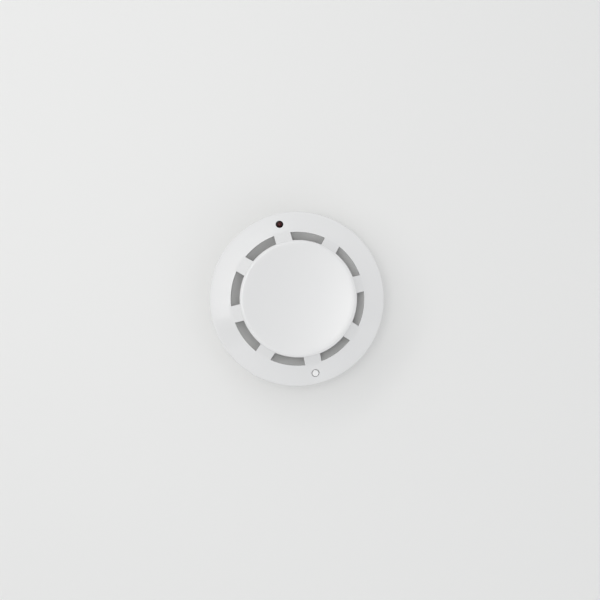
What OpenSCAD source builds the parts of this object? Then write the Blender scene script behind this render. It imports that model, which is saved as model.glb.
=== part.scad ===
// Point heat detector: a twist-off sensing head on a surface mounting base.
// The mounting face lies at z = 0 and the front of the head points along +Z.
// The indicator lens is on +Y and the test button is on -Y.

/* [Head] */
// Outer diameter of the cover at its lower edge
head_d = 100; // [99.6:0.2:103]
// Wall thickness of the cover
cover_wall = 1.8; // [1.5:0.1:1.9]
// Height at which the skirt of the cover turns into the sloping ring
ring_out_z = 25.5; // [25:0.1:26]
// Diameter of the circle that the windows reach outwards to
window_out_d = 74.7; // [74:0.1:75.4]
// Height of the sloping ring at the windows
ring_in_z = 31; // [30.5:0.1:31.5]

/* [Cap] */
// Diameter of the round cap over the sensing chamber
cap_d = 64; // [62:0.5:65]
// Height of the highest line of the cap's rim
cap_top_z = 41.8; // [41:0.1:46]
// Radius of the rounded rim
cap_rim_r = 1.5; // [1:0.1:2]
// Depth of the dish in the front of the cap
cap_dish = 1.5; // [0.5:0.1:2]

/* [Windows] */
// Number of air windows, and of spokes between them
window_count = 8; // [4:4:12]
// Width of a spoke
spoke_w = 9.3; // [7:0.1:10]
// Height at which a spoke meets the side of the cap
spoke_top_z = 36.2; // [35.8:0.1:37]

/* [Indicator and test button] */
// Distance of the lens and of the test button from the middle
pitch_r = 43; // [42.8:0.1:43.2]
// Diameter of the indicator lens
lens_d = 4.2; // [3.8:0.1:4.6]
// Diameter of the test button
button_d = 3.7; // [3.4:0.1:4]
// Travel of the test button
button_travel = 0.6; // [0.4:0.1:0.8]

/* [Bayonet] */
// Number of bayonet lugs
lug_count = 3; // [3:1:3]
// Angle that the head turns through between locked and free
twist = 20; // [18:1:20]
// Angle that one lug takes up
lug_w = 14; // [12:1:14]

/* [Base] */
// Outer diameter of the base
base_d = 98; // [98:0.1:98.4]
// Height of the base wall
base_h = 8; // [7.9:0.1:8]
// Thickness of the base floor
floor_t = 2.2; // [2:0.1:2.4]
// Diameter of the cable entry
entry_d = 24; // [18:1:26]

/* [Fixing slots] */
// Distance between the middles of the two fixing slots
fixing_spacing = 60; // [58:1:61]
// Range of screw spacings that the slots take
fixing_adjust = 20; // [10:1:20]
// Diameter of a fixing screw's clearance hole
fixing_hole_d = 4.2; // [4:0.1:4.6]

/* [Hidden] */
$fn = 96;
small_fn = 32;

// Cover
seam_z = base_h + 0.4;
skirt_r = head_d / 2;
skirt_draft = 0.5;
ring_edge_r = skirt_r - skirt_draft;
ring_edge_round = 1.5;
window_out_r = window_out_d / 2;
ring_angle = atan((ring_in_z - ring_out_z) / (ring_edge_r - window_out_r));
ring_drop = cover_wall / cos(ring_angle);
function ring_z(r) = ring_out_z + (ring_edge_r - r) * tan(ring_angle);
boss_r = 3.8;
boss_low_z = 24.3;

// Cap and spokes
cap_r = cap_d / 2;
cap_low_z = 34.4;
dish_edge_angle = atan(2 * cap_dish / (cap_r - cap_rim_r));
dish_r = cap_r - cap_rim_r * (1 + sin(dish_edge_angle));
dish_edge_z = cap_top_z - cap_rim_r * (1 - cos(dish_edge_angle));
function dish_z(r) = dish_edge_z - cap_dish * (1 - pow(r / dish_r, 2));

// Chassis, board and the screws that hold them
chassis_low_z = seam_z + 0.2;
chassis_t = 1.8;
chassis_top_z = chassis_low_z + chassis_t;
chassis_r = skirt_r - cover_wall - 0.3;
board_low_z = 13;
board_t = 1.6;
board_top_z = board_low_z + board_t;
board_r = 46.4;
screw_angles = [0, 120, 240];
screw_column_top_z = 12.4;
screw_seat_z = 10.9;
cover_screw_r = 1.4;
cover_screw_end_z = 21;
board_screw_pitch_r = 24;
board_screw_angles = [90, 210, 330];
board_screw_r = 1;
thread_gap = 0.05;

// Chamber floor
floor_top_z = 20.5;
floor_wall = 1.5;
cone_start_r = 27;
cone_drop = 2.06;
floor_rim_r = 38.9;
floor_gap = 0.08;
floor_leg_pitch_r = 24.5;
floor_leg_angles = [30, 150, 270];

// Thermistors
sleeve_r = 2.2;
sleeve_top_z = 27;
lead_gap = 1.3;
lead_r = 0.25;
bead_z = 31.5;
bead_r = 1.1;

// Bayonet
lug_middle = 30;
lug_leg_in_r = 40.9;
lug_leg_out_r = 43;
lug_out_r = 46.4;
lug_low_z = 4;
lug_top_z = 5.9;
ledge_in_r = 43.5;
ledge_low_z = 6.2;
ledge_top_z = 7.5;
ledge_overlap = 2;
stop_gap = 1;
stop_w = 2.5;
wall_t = 2;

// Terminals and contacts
contact_angles = [45, 135, 225, 315];
terminal_r = 36.5;
block_in_r = 32.5;
block_out_r = 40.2;
block_w = 6.6;
block_top_z = 3.7;
barrier_t = 1.2;
barrier_offset = 4.9;
barrier_top_z = 6.6;
strip_t = 0.5;
strip_w = 6;
clamp_w = 7;
clamp_t = 1;
terminal_screw_r = 1.45;
terminal_hole_r = 1.7;
pad_low_z = 8;
pad_in_r = 23;
pad_out_r = 31.5;
pad_w = 18;
pin_pitch_r = 29.5;
pin_r = 0.8;
pin_top_z = 15.4;

// Test button and its switch
button_r = button_d / 2;
button_top_z = 28.5;
button_flange_r = 3.1;
button_flange_low_z = 23.2;
button_flange_top_z = 24.2;
stem_r = 1.5;
switch_w = 6;
switch_top_z = board_top_z + 3.5;
plunger_r = 1.75;
plunger_low_z = 17.1;
plunger_top_z = 18.9;
running_gap = 0.06;
button_gap = 0.35;
spring_wire_r = 0.25;
spring_r = 2.4;
spring_turns = 5;

// Indicator
lens_r = lens_d / 2;
lens_top_z = 28.9;
lens_low_z = 21;
led_r = 1.5;
led_top_z = 20.4;

// Profiles

function unit(v) = v / norm(v);

// Arc that rounds the corner at b, between a and c.
function corner_arc(a, b, c, r, steps) =
    let(
        to_a = unit(a - b),
        to_c = unit(c - b),
        half = acos(to_a * to_c) / 2,
        centre = b + unit(to_a + to_c) * r / sin(half),
        first = b + to_a * r / tan(half) - centre,
        last = b + to_c * r / tan(half) - centre,
        start = atan2(first.y, first.x),
        sweep = (atan2(last.y, last.x) - start + 540) % 360 - 180
    )
    [for (i = [0:steps]) centre + r * [cos(start + sweep * i / steps), sin(start + sweep * i / steps)]];

function flat(p) = [p.x, p.y];

// Outline whose points are [x, y, corner radius].
function rounded(path, steps = 5) =
    let(count = len(path))
    [
        for (i = [0:count - 1])
            let(p = path[i], before = path[(i + count - 1) % count], after = path[(i + 1) % count])
            each (p[2] == 0 ? [flat(p)] : corner_arc(flat(before), flat(p), flat(after), p[2], steps))
    ];

// Open line whose points are [x, y, corner radius].
function rounded_line(path, steps = 5) =
    [
        for (i = [0:len(path) - 1])
            each (
                path[i][2] == 0
                    ? [flat(path[i])]
                    : corner_arc(flat(path[i - 1]), flat(path[i]), flat(path[i + 1]), path[i][2], steps)
            )
    ];

function side_of(line, i) =
    let(
        along = unit(line[min(i + 1, len(line) - 1)] - line[max(i - 1, 0)])
    )
    [-along.y, along.x];

// Outline of a bent strip of thickness t, with the line along its middle.
function strip_outline(line, t) =
    let(last = len(line) - 1)
    concat(
        [for (i = [0:last]) line[i] + side_of(line, i) * t / 2],
        [for (i = [last:-1:0]) line[i] - side_of(line, i) * t / 2]
    );

module around(angles, r) {
    for (a = angles)
        rotate([0, 0, a])
            translate([r, 0, 0])
                children();
}

module block(size, low_z) {
    translate([-size.x / 2, -size.y / 2, low_z])
        cube(size);
}

module rod(r, low_z, top_z) {
    translate([0, 0, low_z])
        cylinder(r = r, h = top_z - low_z, $fn = small_fn);
}

module sector(from_angle, width, outline) {
    rotate([0, 0, from_angle])
        rotate_extrude(angle = width)
            polygon(outline);
}

module at_lens() {
    translate([0, pitch_r, 0])
        children();
}

module at_button() {
    translate([0, -pitch_r, 0])
        children();
}

// Base

module slot_at(middle_r, length, r, low_z, high_z) {
    for (side = [-1, 1]) {
        for (end = [-1, 1])
            translate([side * middle_r + end * length / 2, 0, low_z])
                cylinder(r = r, h = high_z - low_z);
        translate([side * middle_r - length / 2, -r, low_z])
            cube([length, 2 * r, high_z - low_z]);
    }
}

module base_shell() {
    base_r = base_d / 2;
    rotate_extrude()
        polygon(rounded([
            [0, 0, 0],
            [base_r, 0, 0.6],
            [base_r, base_h, 0.5],
            [base_r - wall_t, base_h, 0.3],
            [base_r - wall_t, floor_t, 0.8],
            [entry_d / 2 + 1.4, floor_t, 0],
            [entry_d / 2 + 1.4, floor_t + 1.6, 0.4],
            [0, floor_t + 1.6, 0]
        ]));
}

module bayonet_track() {
    base_r = base_d / 2;
    ledge = [
        [ledge_in_r, ledge_low_z],
        [base_r - wall_t / 2, ledge_low_z],
        [base_r - wall_t / 2, ledge_top_z],
        [ledge_in_r, ledge_top_z]
    ];
    stop_in_r = ledge_in_r + 0.3;
    stop_top_z = (ledge_low_z + ledge_top_z) / 2;
    stop = [
        [stop_in_r, floor_t / 2],
        [base_r - wall_t / 2, floor_t / 2],
        [base_r - wall_t / 2, stop_top_z],
        [stop_in_r, stop_top_z]
    ];
    locked_reach = lug_w / 2 + stop_gap;
    ledge_reach = locked_reach + stop_w + 0.5;
    for (i = [0:lug_count - 1]) {
        middle = lug_middle + i * 360 / lug_count;
        sector(middle - ledge_reach, ledge_reach + lug_w / 2 + ledge_overlap, ledge);
        sector(middle - locked_reach - stop_w, stop_w, stop);
        sector(middle + twist + locked_reach, stop_w, stop);
    }
}

module terminal_seats() {
    block_l = block_out_r - block_in_r;
    around(contact_angles, (block_in_r + block_out_r) / 2) {
        block([block_l, block_w, block_top_z - floor_t / 2], floor_t / 2);
        for (side = [-1, 1])
            translate([0, side * barrier_offset, 0])
                block([block_l, barrier_t, barrier_top_z - floor_t / 2], floor_t / 2);
    }
}

// Pockets in the mounting face lighten the floor and leave ribs between them.
module back_pockets() {
    pocket_count = 12;
    pocket_w = 25;
    for (i = [0:pocket_count - 1])
        sector(i * 360 / pocket_count - pocket_w / 2, pocket_w, [[41.2, -1], [45.8, -1], [45.8, 0.9], [41.2, 0.9]]);
}

module side_knockouts() {
    around([0, 120, 240], base_d / 2 + 0.2)
        block([2, 11, 4.6], 1.7);
}

module base_plate() {
    slot_travel = fixing_adjust / 2;
    color("white")
        difference() {
            union() {
                base_shell();
                bayonet_track();
                terminal_seats();
            }
            translate([0, 0, -1])
                cylinder(r = entry_d / 2, h = floor_t + 4);
            slot_at(fixing_spacing / 2, slot_travel, fixing_hole_d / 2, -1, floor_t + 1);
            slot_at(fixing_spacing / 2, slot_travel, fixing_hole_d, floor_t - 0.7, floor_t + 1);
            around(contact_angles, terminal_r)
                rod(terminal_screw_r + thread_gap, 0.9, block_top_z + 1);
            back_pockets();
            side_knockouts();
        }
}

// A spring strip: its foot lies under the terminal clamp and its crest meets the head's contact.
module base_contact(index) {
    foot_z = block_top_z + strip_t / 2;
    crest_z = 7.95;
    line = rounded_line([
        [39.8, foot_z, 0],
        [32.4, foot_z, 1.2],
        [27.8, crest_z, 1.5],
        [25.2, 6.6, 0]
    ]);
    color("goldenrod")
        rotate([0, 0, contact_angles[index]])
            difference() {
                rotate([90, 0, 0])
                    linear_extrude(height = strip_w, center = true)
                        polygon(strip_outline(line, strip_t));
                translate([terminal_r, 0, 0])
                    rod(terminal_hole_r, block_top_z - 1, block_top_z + 2);
                translate([26.5, 0, 0])
                    block([9, 0.8, 10], 0);
            }
}

module terminal_clamp(index) {
    low_z = block_top_z + strip_t;
    color("silver")
        around([contact_angles[index]], terminal_r)
            difference() {
                union() {
                    block([clamp_w, clamp_w, clamp_t], low_z);
                    for (side = [-1, 1])
                        translate([0, side * (clamp_w / 2 - 0.4), 0])
                            block([clamp_w, 0.8, clamp_t + 0.7], low_z);
                }
                rod(terminal_hole_r, low_z - 1, low_z + 2);
            }
}

module slotted_head(r, low_z, top_z, slot_w, slot_depth) {
    difference() {
        translate([0, 0, low_z])
            rotate_extrude($fn = small_fn)
                polygon(rounded([[0, 0, 0], [r, 0, 0], [r, top_z - low_z, 0.5], [0, top_z - low_z, 0]]));
        block([2 * r + 1, slot_w, slot_depth + 1], top_z - slot_depth);
    }
}

module cross_head(r, low_z, top_z, slot_w, slot_l, slot_depth, slot_z) {
    difference() {
        rod(r, low_z, top_z);
        block([slot_l, slot_w, slot_depth], slot_z);
        block([slot_w, slot_l, slot_depth], slot_z);
    }
}

module terminal_screws() {
    head_low_z = block_top_z + strip_t + clamp_t;
    color("silver")
        around(contact_angles, terminal_r) {
            rod(terminal_screw_r, 1.2, head_low_z + 0.2);
            rotate([0, 0, 30])
                slotted_head(2.7, head_low_z, head_low_z + 2, 0.8, 1);
        }
}

// Head

module ring_shell() {
    inner_r = ring_edge_r - cover_wall;
    rotate_extrude()
        polygon(rounded([
            [skirt_r, seam_z, 0.3],
            [ring_edge_r, ring_out_z, ring_edge_round],
            [window_out_r, ring_in_z, 0],
            [window_out_r, ring_in_z - ring_drop, 0],
            [inner_r, ring_z(inner_r) - ring_drop, 1],
            [skirt_r - cover_wall, seam_z, 0]
        ]));
}

module cap_shell() {
    steps = 8;
    rim = [
        for (i = [0:steps])
            let(a = (90 + dish_edge_angle) * i / steps)
            [cap_r - cap_rim_r + cap_rim_r * cos(a), cap_top_z - cap_rim_r + cap_rim_r * sin(a)]
    ];
    front = [for (i = [1:steps]) let(r = dish_r * (1 - i / steps)) [r, dish_z(r)]];
    inner_r = cap_r - cover_wall;
    back = [for (i = [0:steps]) let(r = inner_r * i / steps) [r, dish_z(r) - cover_wall]];
    rotate_extrude()
        polygon(concat(
            [[cap_r, cap_low_z]],
            rim,
            front,
            back,
            [[inner_r, cap_low_z]]
        ));
}

module spokes() {
    foot_r = window_out_r + 0.4;
    slope = (spoke_top_z - ring_z(foot_r)) / (foot_r - cap_r);
    root_r = cap_r - cover_wall / 2;
    root_z = spoke_top_z + slope * (cap_r - root_r);
    tip_r = foot_r + 0.6;
    tip_z = ring_z(foot_r) - slope * (tip_r - foot_r);
    intersection() {
        rotate_extrude()
            polygon([
                [root_r, root_z],
                [tip_r, tip_z],
                [tip_r, tip_z - 0.8],
                [window_out_r, ring_in_z - ring_drop + 0.6],
                [root_r, root_z - 2.4]
            ]);
        for (i = [0:window_count - 1])
            rotate([0, 0, i * 360 / window_count])
                translate([0, -spoke_w / 2, ring_out_z])
                    cube([skirt_r, spoke_w, 20]);
    }
}

module cover_bosses() {
    intersection() {
        union() {
            at_lens()
                rod(boss_r, boss_low_z, ring_in_z + 2);
            at_button()
                rod(boss_r, boss_low_z, ring_in_z + 2);
            around(screw_angles, pitch_r)
                rod(3.2, screw_column_top_z, ring_in_z + 2);
        }
        rotate_extrude()
            polygon([
                [window_out_r, seam_z],
                [ring_edge_r - 1, seam_z],
                [ring_edge_r - 1, ring_z(ring_edge_r - 1) - cover_wall / 2],
                [window_out_r, ring_in_z - cover_wall / 2]
            ]);
    }
}

module outer_cover() {
    color("white")
        difference() {
            union() {
                ring_shell();
                cap_shell();
                spokes();
                cover_bosses();
            }
            at_lens()
                rod(lens_r + 0.05, boss_low_z - 1, ring_in_z + 3);
            at_button()
                rod(button_r + button_gap, boss_low_z - 1, ring_in_z + 3);
            around(screw_angles, pitch_r)
                rod(cover_screw_r + thread_gap, screw_column_top_z - 1, cover_screw_end_z + 1);
        }
}

// The floor of the sensing chamber shields the board from the air that passes the thermistor.
module chamber_floor() {
    low_z = floor_top_z - floor_wall;
    under_ring = ring_drop + floor_gap;
    color("white")
        difference() {
            union() {
                rotate_extrude()
                    polygon(rounded([
                        [0, low_z, 0],
                        [cone_start_r + 0.6, low_z, 1],
                        [window_out_r, ring_in_z - under_ring - cone_drop, 0.8],
                        [floor_rim_r, ring_z(floor_rim_r) - under_ring - floor_wall, 0],
                        [floor_rim_r, ring_z(floor_rim_r) - under_ring, 0],
                        [window_out_r, ring_in_z - under_ring, 0],
                        [cone_start_r, floor_top_z, 2],
                        [0, floor_top_z, 0]
                    ]));
                around(floor_leg_angles, floor_leg_pitch_r)
                    rod(1.6, board_top_z + 0.02, floor_top_z - 0.5);
            }
            rod(sleeve_r + 0.1, low_z - 1, floor_top_z + 1);
        }
}

module bayonet_lugs() {
    outline = [
        [lug_leg_in_r, lug_low_z],
        [lug_out_r, lug_low_z],
        [lug_out_r, lug_top_z],
        [lug_leg_out_r, lug_top_z],
        [lug_leg_out_r, chassis_low_z + 0.5],
        [lug_leg_in_r, chassis_low_z + 0.5]
    ];
    for (i = [0:lug_count - 1])
        sector(lug_middle + i * 360 / lug_count - lug_w / 2, lug_w, outline);
}

module chassis() {
    color("white")
        difference() {
            union() {
                translate([0, 0, chassis_low_z])
                    cylinder(r = chassis_r, h = chassis_t);
                bayonet_lugs();
                around(screw_angles, pitch_r)
                    rod(3.6, chassis_low_z + chassis_t / 2, screw_column_top_z - 0.02);
                around(board_screw_angles, board_screw_pitch_r)
                    rod(2.6, chassis_low_z + chassis_t / 2, board_low_z);
            }
            around(screw_angles, pitch_r) {
                rod(2.9, chassis_low_z - 1, screw_seat_z);
                rod(cover_screw_r + 0.2, chassis_low_z - 1, screw_column_top_z + 1);
            }
            around(board_screw_angles, board_screw_pitch_r)
                rod(board_screw_r + thread_gap, chassis_low_z + 1, board_low_z + 1);
            around(contact_angles, pin_pitch_r)
                rod(pin_r + 0.05, chassis_low_z - 1, chassis_top_z + 1);
        }
}

module circuit_board() {
    color("darkgreen")
        difference() {
            translate([0, 0, board_low_z])
                cylinder(r = board_r, h = board_t);
            around(screw_angles, pitch_r)
                rod(3.5, board_low_z - 1, board_top_z + 1);
            around(board_screw_angles, board_screw_pitch_r)
                rod(board_screw_r + 0.2, board_low_z - 1, board_top_z + 1);
            around(contact_angles, pin_pitch_r)
                rod(pin_r + 0.1, board_low_z - 1, board_top_z + 1);
        }
}

// A contact plate behind the chassis, with the pin that carries it to the board.
module head_contact(index) {
    middle = contact_angles[index];
    outline = [
        [pad_in_r, pad_low_z],
        [pad_out_r, pad_low_z],
        [pad_out_r, chassis_low_z],
        [pad_in_r, chassis_low_z]
    ];
    color("gold") {
        sector(middle - pad_w / 2, pad_w, outline);
        around([middle], pin_pitch_r)
            rod(pin_r, pad_low_z + 0.2, pin_top_z);
    }
}

module cover_screws() {
    color("silver")
        around(screw_angles, pitch_r) {
            cross_head(2.6, chassis_low_z + 0.2, screw_seat_z, 0.7, 3, 2, chassis_low_z - 0.6);
            rod(cover_screw_r, screw_seat_z - 0.1, cover_screw_end_z);
        }
}

module board_screws() {
    head_t = 1.4;
    color("silver")
        around(board_screw_angles, board_screw_pitch_r) {
            cross_head(2, board_top_z, board_top_z + head_t, 0.6, 2.4, 2, board_top_z + head_t - 0.8);
            rod(board_screw_r, chassis_low_z + 1.4, board_top_z + 0.1);
        }
}

// Sensing parts

module thermistor_sleeve() {
    color("white")
        difference() {
            union() {
                rod(sleeve_r, board_top_z, sleeve_top_z);
                rod(3.2, board_top_z, board_top_z + 1);
            }
            for (side = [-1, 1])
                translate([side * lead_gap / 2, 0, 0])
                    rod(lead_r + thread_gap, board_top_z - 1, sleeve_top_z + 1);
        }
}

module thermistor_leads() {
    color("silver")
        for (side = [-1, 1])
            translate([side * lead_gap / 2, 0, 0])
                rod(lead_r, board_top_z, bead_z - bead_r - 0.3);
}

module sensing_thermistor() {
    half_h = bead_r * 1.3;
    color("black")
        translate([0, 0, bead_z])
            rotate_extrude($fn = small_fn)
                polygon([for (i = [-8:8]) [bead_r * cos(i * 90 / 8), half_h * sin(i * 90 / 8)]]);
}

module reference_thermistor() {
    color("black")
        translate([20, -4, 0]) {
            for (side = [-1, 1])
                translate([side * lead_gap / 2, 0, 0])
                    rod(lead_r, board_top_z, board_top_z + 1.6);
            translate([0, 0, board_top_z + 1.4])
                rotate_extrude($fn = small_fn)
                    polygon(rounded([[0, 0, 0], [1.2, 0, 0.5], [1.2, 2.4, 0.9], [0, 2.4, 0]]));
        }
}

// Indicator

module indicator_led() {
    flange_low_z = board_top_z + 0.6;
    color("firebrick")
        at_lens() {
            translate([0, 0, flange_low_z])
                rotate_extrude($fn = small_fn)
                    polygon(rounded([
                        [0, 0, 0],
                        [1.9, 0, 0],
                        [1.9, 1, 0.2],
                        [led_r, 1, 0],
                        [led_r, led_top_z - flange_low_z, 1.4],
                        [0, led_top_z - flange_low_z, 0]
                    ]));
            for (side = [-1, 1])
                translate([side * lead_gap, 0, 0])
                    block([0.5, 0.5, 0.8], board_top_z);
        }
}

module light_pipe() {
    color("darkred")
        at_lens()
            rotate_extrude($fn = small_fn)
                polygon(rounded([
                    [0, lens_low_z, 0],
                    [lens_r, lens_low_z, 0.3],
                    [lens_r, boss_low_z - 1.1, 0],
                    [3, boss_low_z - 1.1, 0.2],
                    [3, boss_low_z - 0.1, 0],
                    [lens_r, boss_low_z - 0.1, 0],
                    [lens_r, lens_top_z - 1.2, 1],
                    [0, lens_top_z, 0]
                ]));
}

// Test button

module test_button() {
    color("white")
        at_button()
            rotate_extrude($fn = small_fn)
                polygon(rounded([
                    [0, plunger_top_z, 0],
                    [stem_r, plunger_top_z, 0.3],
                    [stem_r, button_flange_low_z, 0],
                    [button_flange_r, button_flange_low_z, 0],
                    [button_flange_r, button_flange_top_z, 0],
                    [button_r, button_flange_top_z, 0],
                    [button_r, button_top_z, 0.4],
                    [0, button_top_z, 0]
                ]));
}

// A coil spring as one closed skin: rings of points along the helix, closed at both ends.
module button_spring() {
    sides = 8;
    per_turn = 16;
    rings = spring_turns * per_turn;
    end_gap = 0.03;
    low_z = switch_top_z + spring_wire_r + end_gap;
    high_z = button_flange_low_z - spring_wire_r - end_gap;
    points = [
        for (i = [0:rings])
            for (j = [0:sides - 1])
                let(
                    turn = i * 360 / per_turn,
                    around_wire = j * 360 / sides,
                    r = spring_r + spring_wire_r * cos(around_wire),
                    z = low_z + (high_z - low_z) * i / rings + spring_wire_r * sin(around_wire)
                )
                [r * cos(turn), r * sin(turn), z]
    ];
    skin = [
        for (i = [0:rings - 1])
            for (j = [0:sides - 1])
                let(next = (j + 1) % sides)
                [i * sides + j, i * sides + next, (i + 1) * sides + next, (i + 1) * sides + j]
    ];
    first_end = [for (j = [0:sides - 1]) sides - 1 - j];
    last_end = [for (j = [0:sides - 1]) rings * sides + j];
    color("silver")
        at_button()
            polyhedron(points, concat(skin, [first_end, last_end]), convexity = 6);
}

module test_switch() {
    body_low_z = board_top_z + 0.2;
    color("dimgray")
        at_button()
            difference() {
                union() {
                    block([switch_w, switch_w, switch_top_z - body_low_z], body_low_z);
                    for (side = [-1, 1])
                        for (end = [-1, 1])
                            translate([side * (switch_w / 2 - 0.1), end * 2.25, 0])
                                block([0.6, 0.7, 1.2], board_top_z);
                }
                rod(plunger_r + running_gap, plunger_low_z - button_travel - 0.2, switch_top_z + 1);
            }
}

module switch_plunger() {
    color("black")
        at_button()
            rod(plunger_r, plunger_low_z, plunger_top_z);
}

// Board parts

// A flat chip package with a row of leads along each long side.
module chip(size, leads_per_side, lead_pitch, lead_w) {
    block(size, board_top_z + 0.15);
    for (side = [-1, 1])
        for (i = [0:leads_per_side - 1])
            translate([(i - (leads_per_side - 1) / 2) * lead_pitch, side * (size.y / 2 + 0.45), 0]) {
                block([lead_w, 1.1, 0.25], board_top_z);
                translate([0, -side * 0.35, 0])
                    block([lead_w, 0.4, size.z * 0.5], board_top_z);
            }
}

module comparator_ic() {
    color("black")
        translate([0, 13, 0])
            chip([8.7, 3.9, 1.5], 7, 1.27, 0.42);
}

module bridge_rectifier() {
    color("black")
        translate([-14, -12, 0])
            chip([4.7, 4, 2.4], 2, 2.54, 0.7);
}

module surge_suppressor() {
    color("black")
        translate([14, -13, 0]) {
            block([4.4, 3.6, 2.2], board_top_z + 0.1);
            block([5.4, 2, 0.6], board_top_z);
        }
}

module reservoir_capacitor() {
    color("silver")
        translate([-24, 24, board_top_z])
            rotate_extrude($fn = small_fn)
                polygon(rounded([
                    [0, 0, 0],
                    [2.5, 0, 0],
                    [2.5, 1, 0.15],
                    [2.3, 1.3, 0.1],
                    [2.5, 1.6, 0.15],
                    [2.5, 5.4, 0.4],
                    [0, 5.4, 0]
                ]));
}

module transistors() {
    places = [[12, 6, 0], [16, 0, 90], [-12, 4, 90]];
    color("black")
        for (p = places)
            translate([p.x, p.y, 0])
                rotate([0, 0, p.z]) {
                    block([2.9, 1.3, 1], board_top_z + 0.05);
                    block([0.45, 2.4, 0.4], board_top_z);
                    for (side = [-1, 1])
                        translate([side * 0.95, -0.6, 0])
                            block([0.45, 1.2, 0.4], board_top_z);
                }
}

module resistors() {
    size = [2, 1.25, 0.5];
    color("black") {
        for (i = [0:5])
            translate([-10 + 4 * i, -7, 0])
                block(size, board_top_z);
        for (i = [0:4])
            translate([-8 + 4 * i, -18, 0])
                block(size, board_top_z);
        for (side = [-1, 1])
            translate([side * 5, 36, 0])
                block(size, board_top_z);
    }
}

module ceramic_capacitors() {
    places = [[-9, 10], [-9, 14], [9, 12], [9, 16], [-17, 0], [5, -13]];
    color("tan")
        for (p = places)
            translate([p.x, p.y, 0])
                block([2, 1.25, 0.9], board_top_z);
}

base_plate();
base_contact(0);  // base_contact_1
base_contact(1);  // base_contact_2
base_contact(2);  // base_contact_3
base_contact(3);  // base_contact_4
terminal_clamp(0);  // terminal_clamp_1
terminal_clamp(1);  // terminal_clamp_2
terminal_clamp(2);  // terminal_clamp_3
terminal_clamp(3);  // terminal_clamp_4
terminal_screws();
outer_cover();
chamber_floor();
chassis();
circuit_board();
head_contact(0);  // head_contact_1
head_contact(1);  // head_contact_2
head_contact(2);  // head_contact_3
head_contact(3);  // head_contact_4
cover_screws();
board_screws();
thermistor_sleeve();
thermistor_leads();
sensing_thermistor();
reference_thermistor();
indicator_led();
light_pipe();
test_button();
button_spring();
test_switch();
switch_plunger();
comparator_ic();
bridge_rectifier();
surge_suppressor();
reservoir_capacitor();
transistors();
resistors();
ceramic_capacitors();
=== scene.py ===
# %% [markdown]
# A point heat detector: a round white head that twists off a mounting base. Hot air drifts in through
# eight windows round a dished cap and warms a small thermistor. This lesson gives the packed frame its
# looks: camera and light first, then the plastics and metals, then one piece after another.

import math

import bmesh
import bpy
from mathutils import Matrix, Vector


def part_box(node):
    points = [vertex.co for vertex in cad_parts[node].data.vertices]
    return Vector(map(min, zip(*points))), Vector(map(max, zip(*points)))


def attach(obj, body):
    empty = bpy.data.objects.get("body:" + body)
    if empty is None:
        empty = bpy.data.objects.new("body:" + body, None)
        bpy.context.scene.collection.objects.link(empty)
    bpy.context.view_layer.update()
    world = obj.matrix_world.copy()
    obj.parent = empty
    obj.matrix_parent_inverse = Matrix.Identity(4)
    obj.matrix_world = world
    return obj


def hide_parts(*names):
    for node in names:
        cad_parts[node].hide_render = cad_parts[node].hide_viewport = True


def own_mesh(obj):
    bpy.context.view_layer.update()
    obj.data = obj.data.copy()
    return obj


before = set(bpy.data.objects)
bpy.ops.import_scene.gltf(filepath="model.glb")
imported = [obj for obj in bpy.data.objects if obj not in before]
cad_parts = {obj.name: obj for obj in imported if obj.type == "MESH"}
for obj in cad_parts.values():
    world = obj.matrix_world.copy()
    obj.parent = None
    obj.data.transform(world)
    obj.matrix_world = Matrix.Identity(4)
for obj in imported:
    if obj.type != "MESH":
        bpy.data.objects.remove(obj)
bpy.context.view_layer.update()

# %% [markdown]
# Lengths below are in millimetres, as on the maker's drawing, and MM turns them into Blender's metres.
# Outer sizes come from the frame's own boxes, so every piece lands where the design put it.

# %% Sizes from the frame
MM = 0.001


def box_mm(node):
    low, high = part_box(node)
    return low / MM, high / MM


cover_low, cover_high = box_mm("outer_cover")
lens_low, lens_high = box_mm("light_pipe")
button_low, button_high = box_mm("test_button")

SKIRT_R = round((cover_high.x - cover_low.x) / 2, 1)
SEAM_Z = cover_low.z
CAP_TOP_Z = round(cover_high.z, 1)
LENS_Y = (lens_low.y + lens_high.y) / 2
BUTTON_Y = (button_low.y + button_high.y) / 2
print("skirt radius", SKIRT_R, "seam", round(SEAM_Z, 2), "cap top", CAP_TOP_Z)

# %% [markdown]
# Shader maths reads best as plain sums. Nodes could be wired one by one, but a sum then takes a page. A
# Wire holds one socket, and each operator on it adds the Math node that does the sum.

# %% Sums of sockets
class Wire:
    """A socket of a node tree that can be added, multiplied and compared like a number."""

    def __init__(self, tree, socket):
        self.tree = tree
        self.socket = socket

    def math(self, operation, other=None, swapped=False):
        made = self.tree.nodes.new("ShaderNodeMath")
        made.operation = operation
        pair = [self, other] if not swapped else [other, self]
        for place, value in zip(made.inputs, pair):
            if isinstance(value, Wire):
                self.tree.links.new(value.socket, place)
            elif value is not None:
                place.default_value = value
        return Wire(self.tree, made.outputs[0])

    def __add__(self, other):
        return self.math("ADD", other)

    def __radd__(self, other):
        return self.math("ADD", other, swapped=True)

    def __sub__(self, other):
        return self.math("SUBTRACT", other)

    def __rsub__(self, other):
        return self.math("SUBTRACT", other, swapped=True)

    def __mul__(self, other):
        return self.math("MULTIPLY", other)

    def __rmul__(self, other):
        return self.math("MULTIPLY", other, swapped=True)

    def __truediv__(self, other):
        return self.math("DIVIDE", other)

    def __pow__(self, other):
        return self.math("POWER", other)

    def __lt__(self, other):
        return self.math("LESS_THAN", other)


print("made:", Wire.__doc__)

# %% [markdown]
# A Finish holds one material, and its node() makes any node: settings are set first, then the values or
# links of the sockets. Colours go through mix(), because a Math node would turn them grey.

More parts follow.
